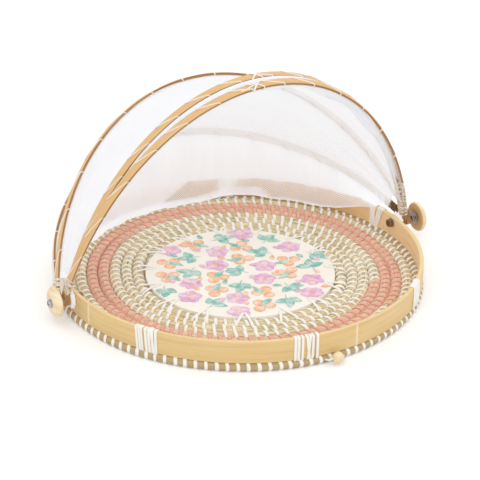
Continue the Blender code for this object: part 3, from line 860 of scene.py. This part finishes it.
# Degrees round the rim, and each strand's millimetres along it at its top and its foot, and width
even_strands = ((-8.4, -7.4, 2.7), (-5.6, -4.6, 2.8), (-2.8, -1.9, 2.7), (0.2, 0.9, 2.8), (3.1, 3.6, 2.7),
                (6.0, 6.4, 2.8))
lashings = {
    "rim_lashing_front_left": (213, (
        (-11.2, -9.4, 2.6), (-8.4, -6.6, 2.6), (-5.8, -4.0, 2.5), (-1.4, 0.2, 3.0), (1.9, 3.4, 3.1),
        (5.4, 6.6, 3.1), (9.0, 9.8, 3.0), (4.0, 8.6, 2.4))),
    "rim_lashing_front": (260.5, (
        (-8.2, -8.4, 2.9), (-5.2, -5.4, 2.9), (-1.6, -1.8, 2.6), (2.6, 5.0, 2.7), (5.6, 3.4, 2.7),
        (8.4, 7.8, 2.7), (12.4, 12.2, 2.8))),
    "rim_lashing_front_right": (310, (
        (-4.6, -5.4, 2.8), (-1.6, -2.4, 2.8), (1.4, 0.4, 2.9), (4.4, 3.6, 2.8), (7.2, 5.6, 2.7),
        (9.4, 8.0, 2.6))),
    "rim_lashing_right": (8.5, (
        (-9.0, -1.0, 2.8), (-6.1, 1.4, 2.8), (-3.2, 3.4, 2.7), (2.4, 5.0, 2.8), (5.4, 6.8, 2.8),
        (8.6, 8.6, 2.8), (9.4, 2.0, 2.6))),
    "rim_lashing_rear_right": (67, even_strands),
    "rim_lashing_rear_left": (120, even_strands),
    "rim_lashing_left": (171, even_strands),
}
lashing_thick = 0.0011
mm = 0.001


def make_lashings():
    """Strands wound round the hoop, the last of each lashing over the others."""
    for node, (middle, strands) in lashings.items():
        batch = Batch()
        for n, (top, foot, width) in enumerate(strands):
            off = lashing_thick / 2 + (0.0004 if n == len(strands) - 1 else 0.0)
            ring = strip_ring(rim_inner - off, rim_outer + off, rim_low - off, rim_top + off, 0.0012, 0.0002)
            r, z, _ = ring.T
            share = (rim_top - z) / (rim_top - rim_low)
            angle = math.radians(middle) + (top + (foot - top) * share) * mm / rim_outer
            line = polar(r, angle, z)
            core = polar((rim_inner + rim_outer) / 2, angle, np.clip(z, rim_low + 0.003, rim_top - 0.003))
            section = oval(width * mm, lashing_thick, 8, 0.75)
            batch.add(swept(line, section, line - core, closed=True), along=True)
        kept(batch.build(node + "_cord", "white_yarn"), "tray", "white_cord", node)


# Bows, their threads and hems
def bow_place(bow, at, off=0.0, side=0.0):
    """World points on a bow: at is the angle along its arc, off its face, and side to the rear."""
    start = math.radians(bow["start"])
    at, off, side = np.broadcast_arrays(np.asarray(at, float), off, side)
    half = bow["stack"] / math.cos(start)
    rise = (bow["height"] - bow_flat) / (1 - math.sin(start))
    x, h = half * np.cos(at), bow_flat + rise * (np.sin(at) - math.sin(start))
    nx, nh = rise * np.cos(at), half * np.sin(at)
    flip = np.hypot(nx, nh)
    x, h = x + nx / flip * off, h + nh / flip * off
    return on_plane(bow, x, h, side)


def on_plane(bow, x, h, side):
    angle = math.radians(bow["angle"])
    y = -h * math.cos(angle) + side * math.sin(angle)
    z = pivot_z + h * math.sin(angle) + side * math.cos(angle)
    return joined(x, y, z)


def bow_stations(bow, count):
    start = math.radians(bow["start"])
    return np.linspace(start, math.pi - start, count)


def share_of_lift(bow, at):
    """Share of its full height that a thread or hem keeps, less at the feet, where the bows nest."""
    start = math.sin(math.radians(bow["start"]))
    height = bow_flat + (bow["height"] - bow_flat) / (1 - start) * (np.sin(at) - start)
    return 0.25 + 0.75 * smooth((height - 0.07) / 0.03)


def bow_rings(bow, section, count):
    """Rings of (off, side, mark) points along a bow, from one foot to the other."""
    off, side, _ = section.T
    feet = ((-0.0055, 0.42), (-0.0050, 0.66), (-0.0040, 0.86), (-0.0022, 0.99), (0.0, 1.0), (0.003, 1.0))
    right = [on_plane(bow, bow["stack"] + off, drop, side * wide) for drop, wide in feet]
    left = [on_plane(bow, -bow["stack"] - off, drop, side * wide) for drop, wide in reversed(feet)]
    return np.concatenate((right, bow_place(bow, bow_stations(bow, count)[:, None], off, side), left))


def make_bow(node, bow):
    section = strip_ring(-bow_half_thick, bow_half_thick, -bow_half_width, bow_half_width, 0.0005, 0.0002)
    piece = single(node + "_strip", "bow", bow_rings(bow, section, 97), capped=True, mark=section[:, 2])
    kept(piece, bow["body"], "bamboo", node)
    make_threads(node, bow)


# One turn of the whip thread: share of the turn, off the faces and to the side
whip_turn = ((0.0, 1.0, -0.92), (0.2, 1.06, -0.3), (0.4, 1.06, 0.3), (0.6, 1.0, 0.92), (0.66, 0.0, 1.1),
             (0.7, -1.0, 0.9), (0.82, -1.1, 0.0), (0.94, -1.0, -0.9), (0.97, 0.0, -1.1))
whip_turns = 15
wrap_pitch = 0.0062
wraps_right = 27
wraps_left = 9
brown_wraps = 9


def make_threads(node, bow):
    """The long whip thread that holds the net, and tight wraps near both feet."""
    batch, brown = Batch(), Batch()
    start = math.radians(bow["start"])
    share, off, side = np.tile(whip_turn, (whip_turns, 1)).T
    turn = np.repeat(np.arange(whip_turns), len(whip_turn))
    at = start + (math.pi - 2 * start) / whip_turns * (turn + share)
    lift = np.where(off > 0, 0.0004, 0.0010) * share_of_lift(bow, at)
    line = bow_place(bow, at, off * (bow_half_thick + lift), side * bow_half_width)
    even = np.interp(np.arange(len(line)), (0, len(line)), (start, math.pi - start))
    ups = line - bow_place(bow, even)
    batch.add(swept(line[3:-3], oval(0.0012, 0.00032, 6), ups[3:-3]), capped=True)
    outer = bow_half_thick + (0.0004 if node in ("bow_front", "bow_third") else 0.00015)
    wide = bow_half_width + 0.0003
    corners = strip_ring(-bow_half_thick - 0.0001, outer, -wide, wide, 0.0008, 0.0001)
    first = start + (0.03 if node == "bow_rear" else 0.012)
    for is_right, wraps in ((True, wraps_right), (False, wraps_left)):
        for n in range(wraps):
            at = first + wrap_pitch * n + random.uniform(-0.0012, 0.0012)
            tilt = random.uniform(-0.004, 0.004)
            is_brown = node == "bow_rear" and is_right and n < brown_wraps
            at = at if is_right else math.pi - at
            wound_into(brown if is_brown else batch, bow, at, tilt, corners, 0.0011, 0.00024)
    kept(batch.build(node + "_threads", "thread"), bow["body"], "white_cord")
    if brown.count:
        kept(brown.build(node + "_twine", "twine"), bow["body"], "white_cord")


def wound_into(batch, bow, at, tilt, corners, width, thick):
    """One turn of cord round a bow; tilt is how far it leans along the bow at its edges."""
    off, side, _ = corners.T
    ring = bow_place(bow, at + tilt * side / bow_half_width, off, side)
    batch.add(swept(ring, oval(width, thick, 6), ring - ring.mean(axis=0), closed=True), along=True)


def make_closing_loop():
    """Flat cord crossed over the tops of the two front bows, its ends laid along the first."""
    over, under = bow_half_thick + 0.0007, bow_half_thick + 0.0013
    wide = bow_half_width + 0.0007
    corners = strip_ring(-under, over, -wide, wide, 0.0012, 0.0002)
    share = np.linspace(0, 1, 14)
    for node, middle in (("bow_front", math.pi / 2 + 0.046), ("bow_second", math.pi / 2 - 0.006)):
        bow = bows[node]
        batch = Batch()
        for tilt, shift in ((0.021, 0.0), (-0.021, 0.003)):
            wound_into(batch, bow, middle + shift, tilt, corners, 0.0017, 0.0008)
        ends = ((0.088, -0.0034, 0.0), (0.05, 0.0026, 0.0012)) if node == "bow_front" else ()
        for reach, drop, lag in ends:
            at = middle + reach * share
            off = bow_half_thick + 0.0009 + 0.0005 * np.sin(share * 7 + lag * 900)
            path = bow_place(bow, at + 0.004, off, lag + drop * share)
            normals = bow_place(bow, at, 0.01) - bow_place(bow, at)
            batch.add(swept(path, oval(0.0016, 0.0008, 8), normals), capped=True)
        kept(batch.build(node + "_loop", "white_yarn"), bow["body"], "white_cord")


# Nets
net_inset = 0.0016
gore_stations = 141


def hem_band(node, finish, half, out=-1):
    """Folded hem of the net along a bow's inner side, or its outer with out=1."""
    bow = bows[node]
    stations = bow_stations(bow, gore_stations)[4:-4, None]
    across = np.linspace(-half, half, 9)
    wave = 0.0003 * np.sin(stations * 37)
    lift = 0.0007 * share_of_lift(bow, stations)
    grid = bow_place(bow, stations, out * (bow_half_thick + lift + wave * 0.15), across + wave * 0.5)
    word = "_hem" if out < 0 else "_wrap"
    mark = 1.0 if finish == "hem" else 0.0
    piece = single(node + word, finish, grid, solid=False, around=False, mark=mark)
    return kept(piece, bow["body"], "white_net")


def gore_grid(first, second, skipped, columns, side):
    """Points from one bow's inner face to the next one's, their inward ways, shares and spans."""
    at_first, at_second = (bow_stations(bow, gore_stations)[skipped:-skipped] for bow in (first, second))
    near = bow_place(first, at_first, -net_inset, side)
    far = bow_place(second, at_second, -net_inset, -side)
    across = np.linspace(0, 1, columns)
    grid = between(near[:, None], far[:, None], across[:, None])
    inward = unit(grid * (1, 0, 0) + hinge_point - grid)
    rows = np.linspace(0, 1, len(near))[:, None]
    return grid, inward, across, rows, np.linalg.norm(far - near, axis=1)[:, None]


def make_gore(node, first, second):
    """Net stretched between two bows, slacker near their feet."""
    grid, inward, across, rows, span = gore_grid(bows[first], bows[second], 5, 33, 0.002)
    low = np.exp(-np.minimum(grid[:, 0, 2], grid[:, -1, 2]) / 0.045)[:, None]
    sag = 0.006 * (span / span.max()) * 4 * across * (1 - across)
    waves = 0.0008 * np.sin(tau * 3 * across + 2.2 * np.sin(tau * rows)) * (0.25 + 3.0 * low)
    grid = grid + inward * (sag + waves * np.sin(np.pi * across))[..., None]
    uv = joined(way_along(grid[:, len(across) // 2])[:, None], span * across)
    piece = single(node + "_gore", "net", grid, solid=False, around=False, uv=uv)
    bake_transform(piece)
    kept(piece, None, "white_net", node)


def make_front_gore():
    """Net gathered into soft pleats between the two front bows."""
    pleats, pleat_depth, covered = 9, 0.0108, 0.0036
    first, second = bows["bow_front"], bows["bow_second"]
    grid, inward, across, rows, span = gore_grid(first, second, 8, 129, 0.001)
    u = way_along(grid[:, 0])
    size = np.minimum(1, np.minimum(rows, 1 - rows) * 4 + 0.2)
    fold = 0.5 - 0.5 * np.cos(tau * pleats * across + 0.5 * np.sin(tau * 3 * rows))
    depth = pleat_depth * size * fold ** 1.5 * (0.85 + 0.15 * np.sin(tau * 7 * rows))
    depth = depth * np.minimum(1, np.sin(np.pi * across) * 2.2) * (0.4 + 0.6 * smooth(across / 0.3))
    margin = covered / span
    clear = smooth((across - margin) / 0.1) * smooth((1 - margin - across) / 0.1)
    depth = depth - 0.0027 * clear * smooth((span - 0.009) / 0.004)
    grid = grid + inward * depth[..., None]
    v = way_along(grid[len(grid) // 2])
    uv = joined(*np.meshgrid(u, v, indexing="ij"))
    piece = single("net_front_gore", "net", grid, solid=False, around=False, uv=uv)
    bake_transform(piece)
    kept(piece, None, "white_net", "net_front")


def make_rear_net(spare):
    """Net from the rear bow down inside the hoop to its hem on the coil."""
    lip_lift, over_lift, foot_level, fold_depth = 0.0012, 0.0020, 0.0092, 0.0011
    bow = bows["bow_rear"]
    at = bow_stations(bow, 181)[7:-7]
    top = bow_place(bow, at, -net_inset, 0.002)
    angle = np.arctan2(top[:, 1], top[:, 0])
    turned = np.degrees(angle)
    inside = rim_inner - 0.0016
    low = smooth((turned - 4) / 30) * smooth((176 - turned) / 30)
    over = polar(rim_inner + 0.0005, angle, rim_top + over_lift)
    lip = between(over, polar(inside, angle, rim_top + lip_lift), low[:, None])
    raised = smooth((turned - 51) / 7) * smooth((71 - turned) / 7)
    foot_z = foot_level + 0.0026 * raised + (rim_top + 0.0008 - foot_level) * (1 - low)
    foot = polar(inside - 0.0006, angle, foot_z)
    rows = np.linspace(0, 1, len(at))
    wave = np.sin(tau * 13 * rows) + 0.6 * np.sin(tau * 29 * rows + 1.0)
    spread = smooth((turned - 66) / 16)
    reach = 0.0012 + 0.0098 * spread + 0.0011 * wave * (0.4 + 0.6 * spread)
    trail = polar(inside - reach, angle, np.maximum(foot_z - 0.0002, 0.0089))
    tucked = polar(inside - 0.0012, angle, foot_z - 0.0004)
    trail = between(foot, between(trail, tucked, raised[:, None]), low[:, None])
    columns = []
    for start, end, first, count in ((top, lip, 0, 12), (lip, foot, 0.12, 8), (foot, trail, 0.34, 3)):
        columns += [between(start, end, share) for share in np.linspace(first, 1, count)]
    grid = np.stack(columns, axis=1)
    drop = np.linspace(0, 1, len(columns))
    fold = np.minimum(1, np.sin(np.pi * np.clip(drop * 1.15, 0, 1)) * 1.4)
    fold = fold_depth * (1 + wave)[:, None] * fold
    grid = grid - polar(1.0, angle, 0)[:, None] * fold[..., None]
    uv = joined(way_along(lip)[:, None], [way_along(line) for line in grid])
    step = drop * (len(columns) - 1)
    down = np.clip((step - 11) / 8, 0, 1)
    turned = turned[:, None]
    double = smooth((turned - 78 - 11 * down) / 2.5)
    pleat = np.exp(-((turned - 66) / 3.4) ** 2) * (0.75 + 0.25 * np.cos(tau * (turned - 66) / 2.6))
    above = smooth((11.6 - step) / 0.6)
    hem_start = 18.4 - 3.3 * smooth((turned - 50) / 5) * (1 - np.clip((turned - 66) / 13, 0, 1))
    hem = smooth((step - hem_start) / 0.7)
    mark = np.clip(double + pleat + above + hem, 0, 1.2)
    piece = single("net_rear_curtain", "thin_net", grid, solid=False, around=False, uv=uv, mark=mark)
    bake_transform(piece)
    kept(piece, None, "white_net", "net_rear")


# Pivot hardware
knob_thick = 0.007
knob_reach = 0.015


def make_knob(word, side, inner):
    """Disc turned with a domed outer face, with painted shade on its inner one."""
    outer = inner + knob_thick
    edge, dome, rise = 0.0022, 0.0092, 0.0048
    profile = [(0.0023, inner), (0.0023, outer - 0.0003), (0.0027, outer)]
    for i in range(13):
        a = math.pi / 2 * i / 12
        profile.append((knob_reach - dome + dome * math.sin(a), outer - rise * (1 - math.cos(a))))
    for i in range(1, 9):
        a = math.pi / 2 * i / 8
        profile.append((knob_reach - edge + edge * math.cos(a), inner + edge * (1 - math.sin(a))))
    r, x = np.transpose(profile)
    grid = about_x(x * side, r, circle(96)[:, None]) + hinge_point
    # Mark 1 paints shade on the inner face.
    piece = single(word + "_disc_knob", "wood", grid, along=True, mark=x < inner + 0.0003)
    kept(piece, "tray", "pale_wood", word + "_knob")


def make_spring():
    """Open coils on the right bolt."""
    start, length, wire, reach, turns = 0.1911, 0.0070, 0.00115, 0.00575, 3
    angles = np.linspace(0, tau * turns, turns * 28 + 1)
    x = start + wire / 2 + (length - wire) * np.linspace(0, 1, len(angles))
    section = oval(wire * 0.82, wire * 0.82, 10)
    coils = swept(about_x(x, reach, angles) + hinge_point, section, (1, 0, 0))
    kept(single("right_spring", "steel", coils, capped=True), "tray", "steel", "pivot_spring")


def make_bundles():
    """Spare net gathered round the bolt between the hoop and the bows."""
    first, last, least, most = 0.1757, 0.1801, 0.0056, 0.0032
    angles = circle(72)
    along = np.linspace(0, 1, 15)[:, None]
    folds = 0.0011 * np.sin(11 * angles + 5 * along) + 0.0006 * np.sin(23 * angles - 7 * along)
    reach = least + (most + folds) * np.sin(np.pi * along) ** 0.6
    bundles = []
    for word, side in (("left", -1), ("right", 1)):
        grid = about_x(side * between(first, last, along), reach, angles) + hinge_point
        piece = single(word + "_net_bundle", "net", grid, solid=False, mark=0.7)
        bundles.append(kept(piece, "tray", "white_net"))
    return bundles


def make_pivots():
    make_knob("left", -1, 0.1911)
    make_knob("right", 1, 0.1984)
    make_spring()
    finishes = {"spacer": "wood", "washer": "steel", "nut": "brass", "pivot_bolt": "steel"}
    for word in ("left", "right"):
        for part, finish in finishes.items():
            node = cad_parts[f"{word}_{part}"]
            # The right bolt gets the darker steel as painted shade inside the spring.
            for slot in node.material_slots:
                slot.material = materials["shaded_steel" if (word, part) == ("right", "pivot_bolt") else finish]
            bevel = node.modifiers.new("eased", "BEVEL")
            bevel.width = 0.00015
            bevel.segments = 2
            bevel.limit_method = "ANGLE"


# Closing bead and its cord
bead_centre = (0, -0.1836, 0.00804)
bead_reach = 0.00525
bead_hole = 0.0013


def make_bead():
    first = math.asin(bead_hole / bead_reach)
    at = first + (math.pi - 2 * first) * np.arange(21) / 20
    grid = about_x(-bead_reach * np.cos(at), bead_reach * np.sin(at), circle(40)[:, None]) + bead_centre
    kept(single("bead", "wood", grid, along=True), "tray", "pale_wood", "closure_bead")
    half = [(0.0088, -0.1745, 0.0042), (0.0080, -0.1795, 0.0054), (0.0058, -0.1832, 0.0078),
            (0.003, -0.1836, 0.00804)]
    points = [(-x, y, z) for x, y, z in half] + half[::-1]
    loop = swept(refined(points, 40), oval(0.0018, 0.0018, 10), (0.1, 0.2, 0.97))
    kept(single("bead_loop", "white_yarn", loop, capped=True), "tray", "white_cord", "bead_cord")


def refined(points, count):
    """More points on a smooth line through these."""
    points = np.asarray(points, float)
    padded = np.concatenate((2 * points[:1] - points[1:2], points, 2 * points[-1:] - points[-2:-1]))
    at = np.linspace(0, len(points) - 1, count)
    k = np.minimum(at.astype(int), len(points) - 2)
    t = (at - k)[:, None]
    a, b, c, d = padded[k], padded[k + 1], padded[k + 2], padded[k + 3]
    square = 2 * a - 5 * b + 4 * c - d
    return 0.5 * (2 * b + (c - a) * t + square * t ** 2 + (3 * b - a - 3 * c + d) * t ** 3)


def main():
    make_camera()
    make_world()
    make_floor()
    make_light("key", (-0.9, -1.4, 2.9), 2.2, 19)
    make_light("fill", (1.9, -0.6, 1.8), 2.2, 4)
    make_coil()
    make_board()
    make_print()
    make_lacing()
    make_hoop()
    make_lashings()
    for node, bow in bows.items():
        make_bow(node, bow)
    make_closing_loop()
    front_hem = hem_band("bow_front", "veil", 0.0042)
    second_hem = hem_band("bow_second", "veil", 0.0046)
    third_hem = hem_band("bow_third", "hem", 0.0047)
    rear_hem = hem_band("bow_rear", "hem", 0.0044)
    rear_wrap = hem_band("bow_rear", "wrap", 0.0049, 1)
    make_front_gore()
    make_gore("net_second", "bow_second", "bow_third")
    make_gore("net_third", "bow_third", "bow_rear")
    make_rear_net(make_bundles())
    make_pivots()
    make_bead()


main()
